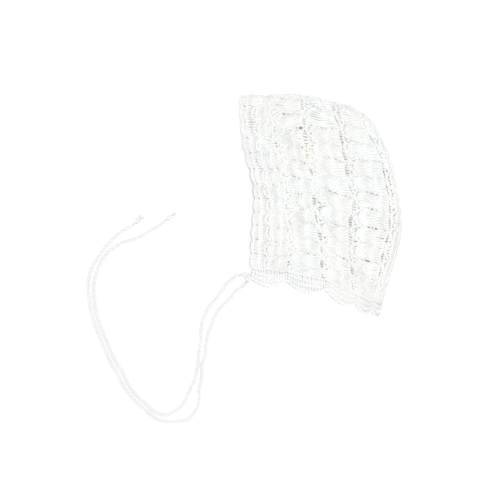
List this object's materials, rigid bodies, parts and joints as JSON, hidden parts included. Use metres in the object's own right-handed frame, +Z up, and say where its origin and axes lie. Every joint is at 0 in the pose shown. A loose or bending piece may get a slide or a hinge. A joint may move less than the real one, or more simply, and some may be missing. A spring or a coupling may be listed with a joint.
{
  "type": "baby bonnet",
  "caption": "Openwork shell-lace baby bonnet folded flat on its side, open at the face and the neck, with two knotted string ties.",
  "frame": {"origin": "bottom centre of the bonnet without its ties, on the surface it lies on", "axes": "+Z up, +X from the face opening to the back of the head, +Y from the neck to the fold along the top of the head"},
  "size_m": [0.2836, 0.2964, 0.0404],
  "materials": {
    "cotton_lace": "soft white crocheted cotton, matt",
    "cotton_edging": "firm white crocheted cotton edge, matt",
    "cotton_string": "white twisted cotton string, matt"
  },
  "bodies": {
    "root": {"crown": "cotton_lace", "face_edging": "cotton_edging", "neck_edging": "cotton_edging", "near_tie_root": "cotton_string", "far_tie_root": "cotton_string", "near_tie": "cotton_string", "far_tie": "cotton_string", "near_tie_knot": "cotton_string", "far_tie_knot": "cotton_string"}
  },
  "joints": []
}
